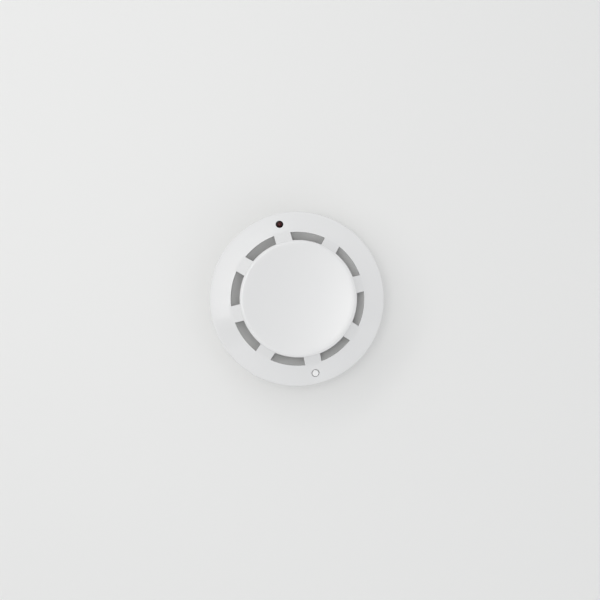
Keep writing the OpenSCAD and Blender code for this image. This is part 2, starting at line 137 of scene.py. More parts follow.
# %% Finishes
class Finish:
    """One procedural material, built round a Principled shader."""

    def __init__(self, name, colour, **constants):
        self.material = bpy.data.materials.new(name)
        self.material.use_nodes = True
        self.material.diffuse_color = (*colour, 1)
        self.tree = self.material.node_tree
        self.shader = self.tree.nodes["Principled BSDF"]
        self.shader.inputs["Base Color"].default_value = (*colour, 1)
        for name_of_socket, value in constants.items():
            self.shader.inputs[name_of_socket.replace("_", " ")].default_value = value
        self.place = self.node("ShaderNodeTexCoord", out="Object")

    def node(self, kind, settings=None, inputs=None, out=0):
        made = self.tree.nodes.new(kind)
        for name, value in (settings or {}).items():
            if name == "stops":
                self.set_stops(made.color_ramp, value)
            else:
                setattr(made, name, value)
        for name, value in (inputs or {}).items():
            self.feed(made.inputs[name], value)
        return Wire(self.tree, made.outputs[out])

    @staticmethod
    def set_stops(ramp, stops):
        while len(ramp.elements) < len(stops):
            ramp.elements.new(0.5)
        for element, (position, colour) in zip(ramp.elements, stops):
            element.position = position
            element.color = (*colour, 1)

    def feed(self, socket, value):
        if isinstance(value, Wire):
            self.tree.links.new(value.socket, socket)
        else:
            socket.default_value = value

    def noise(self, per_metre, detail=3.0, squeeze=None):
        where = self.place
        if squeeze:
            where = self.node("ShaderNodeMapping", inputs={"Vector": where, "Scale": squeeze})
        return self.node("ShaderNodeTexNoise", inputs={"Vector": where, "Scale": per_metre, "Detail": detail})

    def axes(self):
        split = self.node("ShaderNodeSeparateXYZ", inputs={"Vector": self.place}).socket.node
        return [Wire(self.tree, split.outputs[i]) for i in range(3)]

    def mix(self, factor, first, second):
        made = self.tree.nodes.new("ShaderNodeMix")
        made.data_type = "RGBA"
        self.feed(made.inputs[0], factor)
        self.feed(made.inputs[6], first if isinstance(first, Wire) else (*first, 1))
        self.feed(made.inputs[7], second if isinstance(second, Wire) else (*second, 1))
        return Wire(self.tree, made.outputs[2])

    def bump(self, height, strength, distance):
        inputs = {"Height": height, "Strength": strength, "Distance": distance}
        self.set("Normal", self.node("ShaderNodeBump", inputs=inputs))

    def set(self, socket, value):
        self.feed(self.shader.inputs[socket], value)


print("made:", Finish.__doc__)

# %% [markdown]
# The camera looks almost straight down on the front of the head, from a little to one side, and is
# rolled so that the lens sits left of the top. The detector lies on its mounting face on a pale floor.

# %% Camera
AIM_HEIGHT = 20 * MM
VIEW_DISTANCE = 400 * MM
SIDE_TILT = math.radians(2.84)
ROLL = math.radians(76.36)
LENS_LENGTH = 41.81
AIM_RIGHT = 1.81 * MM
AIM_DOWN = 0.69 * MM

picture_up = Vector((math.cos(ROLL), math.sin(ROLL), 0))
picture_right = Vector((math.sin(ROLL), -math.cos(ROLL), 0))
aim = Vector((0, 0, AIM_HEIGHT)) + picture_right * AIM_RIGHT - picture_up * AIM_DOWN
backwards = Vector((0, 0, 1)) * math.cos(SIDE_TILT) - picture_right * math.sin(SIDE_TILT)

camera_data = bpy.data.cameras.new("camera")
camera_data.lens = LENS_LENGTH
camera = bpy.data.objects.new("camera", camera_data)
bpy.context.scene.collection.objects.link(camera)
side = picture_up.cross(backwards).normalized()
axes = Matrix((side, backwards.cross(side), backwards)).transposed()
camera.matrix_world = Matrix.Translation(aim + backwards * VIEW_DISTANCE) @ axes.to_4x4()
bpy.context.scene.camera = camera
print("camera", round(VIEW_DISTANCE / MM), "mm from its aim, lens", LENS_LENGTH, "mm")

# %% [markdown]
# The glossy cover mirrors the room, so the lights are placed by what they do in it. A ceiling light a little
# to the left shades the dished cap from left to right. A window further down to the left, in five panes,
# shows in the sloping ring as a pale part with clear radial ends, because each turn of the ring mirrors
# another direction of the room. Across from the window a pale wall throws a little of its light back.

# %% Lights
ROOM_R = 1.0


def picture_direction(azimuth, elevation):
    """A unit vector for an angle counted anticlockwise in the picture and a height above the floor."""
    a = math.radians(azimuth)
    e = math.radians(elevation)
    flat_part = picture_right * math.cos(a) + picture_up * math.sin(a)
    return flat_part * math.cos(e) + Vector((0, 0, math.sin(e)))


def window_light(name, azimuth, elevation, width, height, radiance, colour=(1, 1, 1)):
    data = bpy.data.lights.new(name, "AREA")
    data.shape = "RECTANGLE"
    data.size = width
    data.size_y = height
    data.energy = radiance * math.pi * width * height
    data.color = colour
    light = bpy.data.objects.new(name, data)
    bpy.context.scene.collection.objects.link(light)
    towards = picture_direction(azimuth, elevation)
    light.location = towards * ROOM_R
    light.rotation_mode = "QUATERNION"
    light.rotation_quaternion = towards.to_track_quat("Z", "Y")


WARM = (1, 0.99, 0.97)
CAP_MIRROR_HEIGHT = 79
RING_MIRROR_HEIGHT = 41.2
PANES = 5
FIRST_PANE = 104
PANE_TURN = 20.4
window_light("ceiling_light", 165, CAP_MIRROR_HEIGHT, width=0.36, height=0.34, radiance=3.9, colour=WARM)
for pane in range(PANES):
    azimuth = FIRST_PANE + PANE_TURN * pane
    window_light("pane", azimuth, RING_MIRROR_HEIGHT, width=0.255, height=0.12, radiance=2.6, colour=WARM)
window_light("pale_wall", 315, RING_MIRROR_HEIGHT, width=0.86, height=0.28, radiance=0.5)

# %% [markdown]
# The even pale room gives most of the light, so shadows are faint. Two dark cards, which the camera doesn't
# see, stand for the darker parts of the room that the cover mirrors. The floor is open under the base, which
# covers the hole from above, so that the mounting face can be looked at from below.

# %% Room and floor
world = bpy.data.worlds.new("room")
world.use_nodes = True
world.node_tree.nodes["Background"].inputs["Color"].default_value = (0.975, 0.985, 1, 1)
world.node_tree.nodes["Background"].inputs["Strength"].default_value = 0.762
bpy.context.scene.world = world
bpy.context.scene.view_settings.view_transform = "Standard"

FLOOR_R = 3.0
FLOOR_HOLE_R = 47.5 * MM
FLOOR_SIDES = 96
floor_points = []
for i in range(FLOOR_SIDES):
    a = 2 * math.pi * i / FLOOR_SIDES
    floor_points += [(r * math.cos(a), r * math.sin(a), 0) for r in (FLOOR_HOLE_R, FLOOR_R)]
following = [2 * ((i + 1) % FLOOR_SIDES) for i in range(FLOOR_SIDES)]
floor_faces = [(2 * i, 2 * i + 1, after + 1, after) for i, after in enumerate(following)]
floor_mesh = bpy.data.meshes.new("floor")
floor_mesh.from_pydata(floor_points, [], floor_faces)
floor = bpy.data.objects.new("floor", floor_mesh)
bpy.context.scene.collection.objects.link(floor)
floor.data.materials.append(Finish("pale_floor", (0.83, 0.83, 0.82), Roughness=0.6).material)


def dark_card(name, azimuth, elevation, distance, width, height):
    mesh = bpy.data.meshes.new(name)
    corners = [(x * width / 2, y * height / 2, 0) for x, y in ((-1, -1), (1, -1), (1, 1), (-1, 1))]
    mesh.from_pydata(corners, [], [(0, 1, 2, 3)])
    mesh.materials.append(Finish(name, (0.02, 0.02, 0.022), Roughness=0.9).material)
    towards = picture_direction(azimuth, elevation)
    turned_to_head = towards.to_track_quat("Z", "Y").to_matrix().to_4x4()
    mesh.transform(Matrix.Translation(towards * distance) @ turned_to_head)
    card = bpy.data.objects.new(name, mesh)
    bpy.context.scene.collection.objects.link(card)
    card.visible_camera = False


dark_card("wall_beside_window", 207, RING_MIRROR_HEIGHT, ROOM_R, width=0.3, height=0.3)
dark_card("leaning_shape", -12, CAP_MIRROR_HEIGHT, 1.1 * ROOM_R, width=0.4, height=0.34)
print("floor of", FLOOR_SIDES, "sides, open to", FLOOR_HOLE_R / MM, "mm")

# %% [markdown]
# The cover is moulded in glossy white plastic. Seen close, such a skin is never dead flat: it has a very
# faint orange peel, and its gloss varies a little where the mould was polished by hand. Both come from
# noise on the object's own coordinates, so they stay put when the head turns.

# %% White plastics
MOULDED_IOR = 1.58


def white_plastic(name, colour, shade, gloss, gloss_spread, peel):
    finish = Finish(name, colour)
    cloud = finish.noise(28, detail=2)
    finish.set("Base Color", finish.mix(cloud, colour, shade))
    finish.set("Roughness", gloss + gloss_spread * finish.noise(350))
    finish.set("IOR", MOULDED_IOR)
    grain = finish.noise(2600, detail=2)
    wave = finish.noise(220, detail=1)
    finish.bump(grain * peel + wave, 0.12, 0.00006)
    return finish.material


GLOSSY_WHITE = white_plastic("glossy_white", (0.797, 0.797, 0.795), (0.782, 0.784, 0.784), 0.13, 0.08, 0.08)
# The button is the cover's own plastic, painted lighter: painted light for its flat top, which catches more
# light than the sloping ring.
LIT_BUTTON_WHITE = white_plastic("lit_button_white", (0.93, 0.93, 0.925), (0.91, 0.91, 0.905), 0.2, 0.08, 0.08)
# Satin white is darker than the cover's white: partly a duller moulding, partly painted shade, so the floor
# seen deep under the windows comes out darker.
SATIN_WHITE = white_plastic("satin_white", (0.72, 0.72, 0.71), (0.69, 0.69, 0.685), 0.36, 0.14, 0.5)
print("plastics:", GLOSSY_WHITE.name, LIT_BUTTON_WHITE.name, SATIN_WHITE.name)

# %% [markdown]
# The light pipe is a deep red transparent rod. From the front the dark head behind it swallows most of
# the light, and its colour paints that in: painted shade leaves the rim almost black and a painted glow
# gives the middle a dull red. A distance from the rod's own axis gives that fall from red to black, under
# a glossy skin.

# %% Red lens
def distance_from(finish, x, y):
    across, along, _ = finish.axes()
    return ((across - x) ** 2.0 + (along - y) ** 2.0) ** 0.5


PIPE_R = 2.1


def red_lens():
    finish = Finish("red_lens", (0.06, 0.004, 0.005), Roughness=0.22, IOR=1.33)
    away = distance_from(finish, 0, LENS_Y * MM) / (PIPE_R * MM)
    # Painted glow in the middle, painted shade towards the rim: colour standing in for light through the rod.
    stops = [(0.0, (0.075, 0.004, 0.004)), (0.4, (0.04, 0.002, 0.002)), (0.8, (0.004, 0.0005, 0.0005))]
    finish.set("Base Color", finish.node("ShaderNodeValToRGB", {"stops": stops}, {"Fac": away}))
    return finish.material


RED_LENS = red_lens()
print("lens:", RED_LENS.name)

# %% [markdown]
# Metals: plated steel screws and clamps have a fine cloudy zinc, the spring strips are rolled, so their
# marks run one way, and drawn wire has a finer grain. One function makes them all from one noise.

# %% Metals
def metal(name, colour, shade, gloss, squeeze=None, grain=900):
    finish = Finish(name, colour, Metallic=1.0)
    marks = finish.noise(grain, detail=4, squeeze=squeeze)
    finish.set("Base Color", finish.mix(marks, colour, shade))
    finish.set("Roughness", gloss + 0.16 * marks)
    finish.bump(marks, 0.1, 0.00003)
    return finish.material


PLATED_STEEL = metal("plated_steel", (0.66, 0.67, 0.68), (0.5, 0.51, 0.52), 0.24)
SPRING_STRIP = metal("spring_strip", (0.74, 0.52, 0.3), (0.6, 0.4, 0.22), 0.22, squeeze=(1, 1, 0.1))
PLATED_BRASS = metal("plated_brass", (0.82, 0.68, 0.4), (0.7, 0.56, 0.3), 0.18)
DRAWN_WIRE = metal("drawn_wire", (0.6, 0.6, 0.61), (0.48, 0.48, 0.5), 0.2, grain=2200)
TINNED = metal("tinned", (0.75, 0.75, 0.74), (0.62, 0.62, 0.6), 0.3, grain=1500)
CAN = metal("capacitor_can", (0.78, 0.78, 0.79), (0.68, 0.68, 0.7), 0.28)
print("metals:", [made.name for made in (PLATED_STEEL, SPRING_STRIP, PLATED_BRASS, DRAWN_WIRE, TINNED, CAN)])

# %% [markdown]
# Inside are a green board, dark moulded packages, dipped epoxy beads and small ceramics. The board's
# resist is darker over bare laminate and lighter over copper, so small raised cells stand for the copper.

# %% Board and component finishes
def board_green():
    finish = Finish("board_green", (0.02, 0.16, 0.06), Coat_Weight=0.4)
    inputs = {"Vector": finish.place, "Scale": 260.0, "Randomness": 0.6}
    tracks = finish.node("ShaderNodeTexVoronoi", {"distance": "MANHATTAN"}, inputs)
    copper = tracks < 0.42
    finish.set("Base Color", finish.mix(copper, (0.012, 0.11, 0.045), (0.03, 0.2, 0.08)))
    finish.set("Roughness", 0.3 + 0.12 * finish.noise(700))
    finish.bump(copper, 0.2, 0.00003)
    return finish.material


def dark_moulding(name, colour, gloss):
    finish = Finish(name, colour)
    cloud = finish.noise(900, detail=4)
    lighter = tuple(c * 1.7 + 0.004 for c in colour)
    finish.set("Base Color", finish.mix(cloud, colour, lighter))
    finish.set("Roughness", gloss + 0.15 * cloud)
    finish.bump(finish.noise(4000), 0.15, 0.00002)
    return finish.material


BOARD_GREEN = board_green()
DARK_EPOXY = dark_moulding("dark_epoxy", (0.015, 0.015, 0.02), 0.12)
BLACK_PLASTIC = dark_moulding("black_plastic", (0.02, 0.02, 0.02), 0.42)
TAN_CERAMIC = dark_moulding("tan_ceramic", (0.42, 0.28, 0.15), 0.4)
RESISTOR = dark_moulding("resistor_film", (0.02, 0.022, 0.03), 0.25)
print("board:", [made.name for made in (BOARD_GREEN, DARK_EPOXY, BLACK_PLASTIC, TAN_CERAMIC, RESISTOR)])

# %% [markdown]
# Most outlines here are turned: a list of points with a corner radius each becomes a smooth line. One
# small function serves the cover and every turned piece, so their corners are rounded in the same way.

# %% Outlines
def corner_arc(before, corner, after, radius, steps):
    to_before = (before - corner).normalized()
    to_after = (after - corner).normalized()
    half = to_before.angle(to_after) / 2
    centre = corner + (to_before + to_after).normalized() * radius / math.sin(half)
    first = corner + to_before * radius / math.tan(half) - centre
    sweep = first.angle_signed(corner + to_after * radius / math.tan(half) - centre)
    return [centre + Matrix.Rotation(-sweep * i / steps, 2) @ first for i in range(steps + 1)]


def rounded_line(points, steps=6):
    """Points are (x, y, corner radius); the first and the last are kept sharp."""
    line = []
    for i, (x, y, radius) in enumerate(points):
        here = Vector((x, y))
        if radius:
            line += corner_arc(Vector(points[i - 1][:2]), here, Vector(points[i + 1][:2]), radius, steps)
        else:
            line.append(here)
    return line


def stretch(first, last, steps):
    """Points from first to last, without first."""
    return [first.lerp(last, i / steps) for i in range(1, steps + 1)]


print("a right angle rounded:", len(rounded_line([(0, 0, 0), (1, 0, 0.2), (1, 1, 0)])), "points")

# %% [markdown]
# What repeats round the axis is made once and turned round it by Geometry Nodes. The tree takes the number
# of copies as an input, makes that many points, turns an instance on each, realizes them and welds the
# seams, so the cover's eight spokes come from one drawn wedge.

# %% Repeat round the axis
def new_tree(name, **sockets):
    """A geometry tree with named inputs and the kind of each, and its first and last node."""
    tree = bpy.data.node_groups.new(name, "GeometryNodeTree")
    for title, kind in {"Geometry": "Geometry", **sockets}.items():
        tree.interface.new_socket(title, in_out="INPUT", socket_type="NodeSocket" + kind)
    tree.interface.new_socket("Geometry", in_out="OUTPUT", socket_type="NodeSocketGeometry")
    return tree, tree.nodes.new("NodeGroupInput"), tree.nodes.new("NodeGroupOutput")


def repeat_tree():
    tree, start, end = new_tree("repeat_round", Copies="Int", Weld="Float", Finish="Material")
    points = tree.nodes.new("GeometryNodePoints")
    index = tree.nodes.new("GeometryNodeInputIndex")
    step = tree.nodes.new("ShaderNodeMath")
    step.operation = "DIVIDE"
    step.inputs[0].default_value = 2 * math.pi
    turn = tree.nodes.new("ShaderNodeMath")
    turn.operation = "MULTIPLY"
    spin = tree.nodes.new("ShaderNodeCombineXYZ")
    copies = tree.nodes.new("GeometryNodeInstanceOnPoints")
    real = tree.nodes.new("GeometryNodeRealizeInstances")
    weld = tree.nodes.new("GeometryNodeMergeByDistance")
    paint = tree.nodes.new("GeometryNodeSetMaterial")
    link = tree.links.new
    link(start.outputs["Copies"], points.inputs["Count"])
    link(start.outputs["Copies"], step.inputs[1])
    link(index.outputs[0], turn.inputs[0])
    link(step.outputs[0], turn.inputs[1])
    link(turn.outputs[0], spin.inputs["Z"])
    link(points.outputs[0], copies.inputs["Points"])
    link(start.outputs["Geometry"], copies.inputs["Instance"])
    link(spin.outputs[0], copies.inputs["Rotation"])
    link(copies.outputs[0], real.inputs[0])
    link(real.outputs[0], weld.inputs["Geometry"])
    link(start.outputs["Weld"], weld.inputs["Distance"])
    link(weld.outputs[0], paint.inputs["Geometry"])
    link(start.outputs["Finish"], paint.inputs["Material"])
    link(paint.outputs[0], end.inputs[0])
    return tree


REPEAT_ROUND = repeat_tree()


def run_tree(piece, tree, **values):
    """Puts the tree on the piece, sets its named inputs and leaves the result as a plain mesh."""
    modifier = piece.modifiers.new(tree.name, "NODES")
    modifier.node_group = tree
    for item in tree.interface.items_tree:
        if item.in_out == "INPUT" and item.name in values:
            modifier[item.identifier] = values[item.name]
    settle(piece)


def settle(piece):
    """Turns the piece with all its modifiers into a plain mesh."""
    bpy.context.view_layer.update()
    graph = bpy.context.evaluated_depsgraph_get()
    evaluated = piece.evaluated_get(graph)
    mesh = bpy.data.meshes.new_from_object(evaluated, preserve_all_data_layers=True, depsgraph=graph)
    piece.modifiers.clear()
    piece.data = mesh
    mesh.name = piece.name


print("tree:", REPEAT_ROUND.name)

# %% [markdown]
# Every piece goes through the same steps. A mesh is made from points in millimetres and given its finish,
# its doubles are welded and its faces turned outwards, its sharp edges get a small radius, and last it is
# hung on the body that carries it, and the part of the design that it stands for is hidden.

# %% Shared steps for a piece
def new_piece(name, vertices, faces, finish):
    mesh = bpy.data.meshes.new(name)
    mesh.from_pydata([Vector(v) * MM for v in vertices], [], faces)
    mesh.materials.append(finish)
    piece = bpy.data.objects.new(name, mesh)
    bpy.context.scene.collection.objects.link(piece)
    return piece


def face_outwards(piece, weld=0.001, flat_faces=False):
    """Welds doubles, turns every face outwards and, for a boolean, cuts bent faces into triangles."""
    shape = bmesh.new()
    shape.from_mesh(piece.data)
    bmesh.ops.remove_doubles(shape, verts=shape.verts, dist=weld * MM)
    bmesh.ops.recalc_face_normals(shape, faces=shape.faces)
    if flat_faces:
        bmesh.ops.triangulate(shape, faces=shape.faces)
    shape.to_mesh(piece.data)
    shape.free()


def soften(piece, width, steps=3, angle=30, smooth=38):
    """Rounds the sharp edges and smooths the shading between faces that nearly line up."""
    bevel = piece.modifiers.new("edges", "BEVEL")
    bevel.width = width * MM
    bevel.segments = steps
    bevel.limit_method = "ANGLE"
    bevel.angle_limit = math.radians(angle)
    bevel.harden_normals = True
    piece.data.shade_smooth()
    piece.data.set_sharp_from_angle(angle=math.radians(smooth))
    settle(piece)


def combine(piece, others, operation):
    for other in others:
        cut = piece.modifiers.new("combine", "BOOLEAN")
        cut.operation = operation
        cut.solver = "EXACT"
        cut.object = other
        settle(piece)
        face_outwards(piece, weld=0.004)
        bpy.data.objects.remove(other)


def finished(piece, body, slot, *nodes):
    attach(piece, body)
    if nodes:
        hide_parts(*nodes)
    print(piece.name, "-", len(piece.data.polygons), "faces, rides on", body)


print("steps:", [step.__name__ for step in (new_piece, face_outwards, soften, combine, finished)])

# %% [markdown]
# The cover is one moulding: skirt, sloping ring, eight spokes and the dished cap. Its spokes have
# parallel sides, which a plain turned grid would not give, so the columns of the grid follow the spoke:
# some lie across the spoke, and the rest share out the window beside it. An eighth is drawn from the
# middle of one window to the middle of the next, outside and inside, and the tree turns it eight times.

# %% The cover's outline
SPOKES = 8
WALL = 1.8
SPOKE_W = 9.3
RING_OUT = Vector((SKIRT_R - 0.5, 25.5))
RING_IN = Vector((37.35, 31.0))
CAP_R = 32.0
CAP_LOW_Z = 34.4
SPOKE_ROOT_Z = 36.2
RIM_R = 1.5
DISH = 1.5
RING_SLOPE = (RING_IN.y - RING_OUT.y) / (RING_OUT.x - RING_IN.x)
RING_DROP = WALL * math.hypot(1, RING_SLOPE)


def ring_z(r):
    return RING_OUT.y + (RING_OUT.x - r) * RING_SLOPE


def under_ring(r):
    return Vector((r, ring_z(r) - RING_DROP))


rim_end = math.atan(2 * DISH / (CAP_R - RIM_R))
dish_r = CAP_R - RIM_R * (1 + math.sin(rim_end))
dish_edge_z = CAP_TOP_Z - RIM_R * (1 - math.cos(rim_end))


def dish_z(r):
    return dish_edge_z - DISH * (1 - (r / dish_r) ** 2)


print("ring slope", round(RING_SLOPE, 3), "- dish radius", round(dish_r, 2), "middle at", round(dish_z(0), 2))

# %% [markdown]
# The grid of an eighth has rows, one for each point of the outline, and numbered columns. Near the middle
# the columns run along the spoke, so its sides are straight and parallel; the outer ones share the window.
# Strips of faces join two rows, and leaving out some columns of a strip is what opens a window.

# %% One eighth of the cover
HALF_SPOKE = 5
HALF_WINDOW = 10
SPOKE_STEPS = 6
FAN_R = 30
ON_AXIS = 1e-6


def column_angle(j, r):
    """The angle of column j at radius r: columns up to HALF_SPOKE lie across the spoke, down to FAN_R."""
    edge = math.asin(SPOKE_W / 2 / max(r, FAN_R))
    if abs(j) <= HALF_SPOKE:
        return edge * j / HALF_SPOKE
    share = (abs(j) - HALF_SPOKE) / HALF_WINDOW
    return math.copysign(edge + share * (math.pi / SPOKES - edge), j)


class Eighth:
    """Rows of vertices, one row per point of an outline, and the strips of faces between them."""

    def __init__(self):
        self.vertices = []
        self.faces = []

    def row(self, point, half=HALF_SPOKE + HALF_WINDOW):
        r, z = point
        if r < ON_AXIS:
            self.vertices.append((0, 0, z))
            return {j: len(self.vertices) - 1 for j in range(-half, half + 1)}
        made = {}
        for j in range(-half, half + 1):
            a = column_angle(j, r)
            self.vertices.append((r * math.cos(a), r * math.sin(a), z))
            made[j] = len(self.vertices) - 1
        return made

    def strip(self, first, second, columns):
        for j in columns:
            loop = [first[j], first[j + 1], second[j + 1], second[j]]
            self.faces.append(list(dict.fromkeys(loop)))

    def strips(self, rows, columns):
        for first, second in zip(rows, rows[1:]):
            self.strip(first, second, columns)


def cover_wedge():
    wedge = Eighth()
    everywhere = range(-HALF_SPOKE - HALF_WINDOW, HALF_SPOKE + HALF_WINDOW)
    spoke = range(-HALF_SPOKE, HALF_SPOKE)
    windows = [j for j in everywhere if j not in spoke]

    skirt_in = Vector((RING_OUT.x - WALL, SEAM_Z))
    foot = (SKIRT_R, SEAM_Z, 0.3)
    skirt = rounded_line([(*skirt_in, 0), foot, (*RING_OUT, 1.5), (*RING_IN, 0)], steps=8)
    outside = skirt[:-1] + stretch(skirt[-2], skirt[-1], 8)
    inner_corner = under_ring(RING_OUT.x - WALL)
    inside = rounded_line([(*under_ring(RING_IN.x), 0), (*inner_corner, 1), (*skirt_in, 0)])

    spoke_root = Vector((CAP_R, SPOKE_ROOT_Z))
    cap_low = Vector((CAP_R, CAP_LOW_Z))
    rim_centre = Vector((CAP_R - RIM_R, CAP_TOP_Z - RIM_R))
    rim_steps = 14
    rim = [
        rim_centre + Matrix.Rotation((math.pi / 2 + rim_end) * i / rim_steps, 2) @ Vector((RIM_R, 0))
        for i in range(rim_steps + 1)
    ]
    dish_steps = 16
    front_radii = [dish_r * (1 - i / dish_steps) for i in range(1, dish_steps + 1)]
    front = [Vector((r, dish_z(r))) for r in front_radii]
    cap_in = CAP_R - WALL
    corner = (cap_in, dish_z(dish_r) - WALL, 0.8)
    back_r = dish_r - 2
    inner_edge = rounded_line([(cap_in, CAP_LOW_Z, 0), corner, (back_r, dish_z(back_r) - WALL, 0)])
    back_steps = 8
    back_radii = [back_r * (1 - i / back_steps) for i in range(1, back_steps + 1)]
    back = [Vector((r, dish_z(r) - WALL)) for r in back_radii]

    outside_rows = [wedge.row(p) for p in outside[1:]]
    inside_rows = [wedge.row(p) for p in inside]
    root_row = wedge.row(spoke_root)
    low_row = wedge.row(cap_low)
    cap_rows = [root_row] + [wedge.row(p) for p in rim + front]
    back_rows = [low_row] + [wedge.row(p) for p in inner_edge + back]
    top_rows = [wedge.row(p, HALF_SPOKE) for p in stretch(RING_IN, spoke_root, SPOKE_STEPS)[:-1]]
    under_rows = [wedge.row(p, HALF_SPOKE) for p in stretch(inside[0], cap_low, SPOKE_STEPS)[:-1]]

    wedge.strips(outside_rows, everywhere)
    wedge.strips(inside_rows, everywhere)
    wedge.strip(inside_rows[-1], outside_rows[0], everywhere)
    wedge.strip(outside_rows[-1], inside_rows[0], windows)
    wedge.strip(low_row, root_row, windows)
    wedge.strips(cap_rows, everywhere)
    wedge.strips(back_rows, everywhere)
    spoke_top = [outside_rows[-1]] + top_rows + [root_row]
    spoke_under = [inside_rows[0]] + under_rows + [low_row]
    wedge.strips(spoke_top, spoke)
    wedge.strips(spoke_under, spoke)
    for j in (-HALF_SPOKE, HALF_SPOKE):
        for i in range(SPOKE_STEPS):
            side = [spoke_top[i][j], spoke_top[i + 1][j], spoke_under[i + 1][j], spoke_under[i][j]]
            wedge.faces.append(side)
    return wedge


wedge = cover_wedge()
print("one eighth:", len(wedge.vertices), "points,", len(wedge.faces), "faces")

# %% [markdown]
# Under the ring hang round bosses: two guide the lens and the button, three take the cover screws. Their
# tops follow the slope of the ring, so they end inside its wall. Booleans join them and drill the bores,
# and a bevel then rounds every sharp edge, windows and bores alike.

# %% Bosses and bores
ROD_SIDES = 48


def turned_rod(name, x, y, radius, low_z, high_z=None, finish=GLOSSY_WHITE):
    """A round rod; without high_z its top follows the slope of the ring."""
    angles = [2 * math.pi * i / ROD_SIDES for i in range(ROD_SIDES)]
    places = [(x + radius * math.cos(a), y + radius * math.sin(a)) for a in angles] + [(x, y)]
    vertices = []
    for px, py in places:
        top_z = ring_z(math.hypot(px, py)) - RING_DROP / 2 if high_z is None else high_z
        vertices += [(px, py, low_z), (px, py, top_z)]
    faces = []
    for i in range(ROD_SIDES):
        j = (i + 1) % ROD_SIDES
        faces.append([2 * i, 2 * j, 2 * j + 1, 2 * i + 1])
        faces.append([2 * i, 2 * ROD_SIDES, 2 * j])
        faces.append([2 * i + 1, 2 * j + 1, 2 * ROD_SIDES + 1])
    return new_piece(name, vertices, faces, finish)


SCREW_ANGLES = (0, 120, 240)
BOSS_R = 3.8
BOSS_LOW_Z = 24.3
SCREW_BOSS_R = 3.2
SCREW_BOSS_LOW_Z = 12.4
LENS_BORE_R = 2.15
BUTTON_BORE_R = 2.2
BORE_ENDS = (20, 40)
SCREW_BORE_R = 1.45
SCREW_BORE_ENDS = (10, 22)
screw_places = [Vector((LENS_Y, 0)) @ Matrix.Rotation(math.radians(-a), 2) for a in SCREW_ANGLES]

cover = new_piece("cover", wedge.vertices, wedge.faces, GLOSSY_WHITE)
run_tree(cover, REPEAT_ROUND, Copies=SPOKES, Weld=0.002 * MM, Finish=GLOSSY_WHITE)
face_outwards(cover, flat_faces=True)
bosses = [turned_rod("boss", 0, y, BOSS_R, BOSS_LOW_Z) for y in (LENS_Y, BUTTON_Y)]
bosses += [turned_rod("boss", p.x, p.y, SCREW_BOSS_R, SCREW_BOSS_LOW_Z) for p in screw_places]
combine(cover, bosses, "UNION")
bores = [turned_rod("bore", 0, LENS_Y, LENS_BORE_R, *BORE_ENDS)]
bores += [turned_rod("bore", 0, BUTTON_Y, BUTTON_BORE_R, *BORE_ENDS)]
bores += [turned_rod("bore", p.x, p.y, SCREW_BORE_R, *SCREW_BORE_ENDS) for p in screw_places]
combine(cover, bores, "DIFFERENCE")
soften(cover, 0.2)
finished(cover, "head", "cover_plastic", "outer_cover")

# %% [markdown]
# Turned parts share one function. A line that starts and ends on the axis closes with a pole at each end;
# a line that never meets the axis is closed on itself and gives a ring. Blender's Spin could turn a line
# too, but it may leave the shape inside out and its poles open.

# %% Turned parts
def turned(name, line, finish, x=0.0, y=0.0, sides=96):
    vertices = []
    rows = []
    for r, z in line:
        if r < ON_AXIS:
            vertices.append((x, y, z))
            rows.append([len(vertices) - 1] * sides)
            continue
        start = len(vertices)
        angles = [2 * math.pi * i / sides for i in range(sides)]
        vertices += [(x + r * math.cos(a), y + r * math.sin(a), z) for a in angles]
        rows.append(list(range(start, start + sides)))
    pairs = list(zip(rows, rows[1:]))
    if line[0][0] > ON_AXIS:
        pairs.append((rows[-1], rows[0]))
    faces = []
    for first, second in pairs:
        for i in range(sides):
            j = (i + 1) % sides
            loop = list(dict.fromkeys([first[i], first[j], second[j], second[i]]))
            if len(loop) > 2:
                faces.append(loop)
    piece = new_piece(name, vertices, faces, finish)
    face_outwards(piece)
    return piece


print("made:", turned.__name__)

# %% [markdown]
# The chamber floor is a shallow funnel under the windows. It keeps the board out of the air and leads the
# air inwards to the thermistor, which stands in the middle on a sleeve. Three legs rest on the board.

# %% Chamber floor
FLOOR_WALL = 1.5
FLOOR_TOP_Z = 20.5
CONE_START_R = 27
CONE_DROP = 2.06
FLOOR_RIM_R = 38.9
SLEEVE_HOLE_R = 2.3
BOARD_TOP_Z = 14.6
under_gap = RING_DROP + 0.08
rim_top_z = ring_z(FLOOR_RIM_R) - under_gap

floor_line = rounded_line([
    (SLEEVE_HOLE_R, FLOOR_TOP_Z - FLOOR_WALL, 0),
    (CONE_START_R + 0.6, FLOOR_TOP_Z - FLOOR_WALL, 1),
    (RING_IN.x, RING_IN.y - under_gap - CONE_DROP, 0.8),
    (FLOOR_RIM_R, rim_top_z - FLOOR_WALL, 0.25),
    (FLOOR_RIM_R, rim_top_z, 0.25),
    (RING_IN.x, RING_IN.y - under_gap, 0.3),
    (CONE_START_R, FLOOR_TOP_Z, 2),
    (SLEEVE_HOLE_R + 0.3, FLOOR_TOP_Z, 0),
    (SLEEVE_HOLE_R, FLOOR_TOP_Z - 0.3, 0),
])
chamber = turned("chamber", floor_line, SATIN_WHITE, sides=192)
face_outwards(chamber, flat_faces=True)
LEG_ANGLES = (30, 150, 270)
LEG_PITCH_R = 24.5
LEG_R = 1.6
leg_ends = (BOARD_TOP_Z + 0.02, FLOOR_TOP_Z - 0.5)
legs = []
for angle in LEG_ANGLES:
    foot = Matrix.Rotation(math.radians(angle), 2) @ Vector((LEG_PITCH_R, 0))
    legs.append(turned_rod("leg", foot.x, foot.y, LEG_R, *leg_ends, finish=SATIN_WHITE))
combine(chamber, legs, "UNION")
soften(chamber, 0.12, steps=2)
finished(chamber, "head", "white_moulding", "chamber_floor")

# %% [markdown]
# The light pipe carries the glow of the lamp on the board to the face of the ring. Its front is domed,
# and a collar under the boss keeps it from falling out. The lamp is a small round one of the same red.

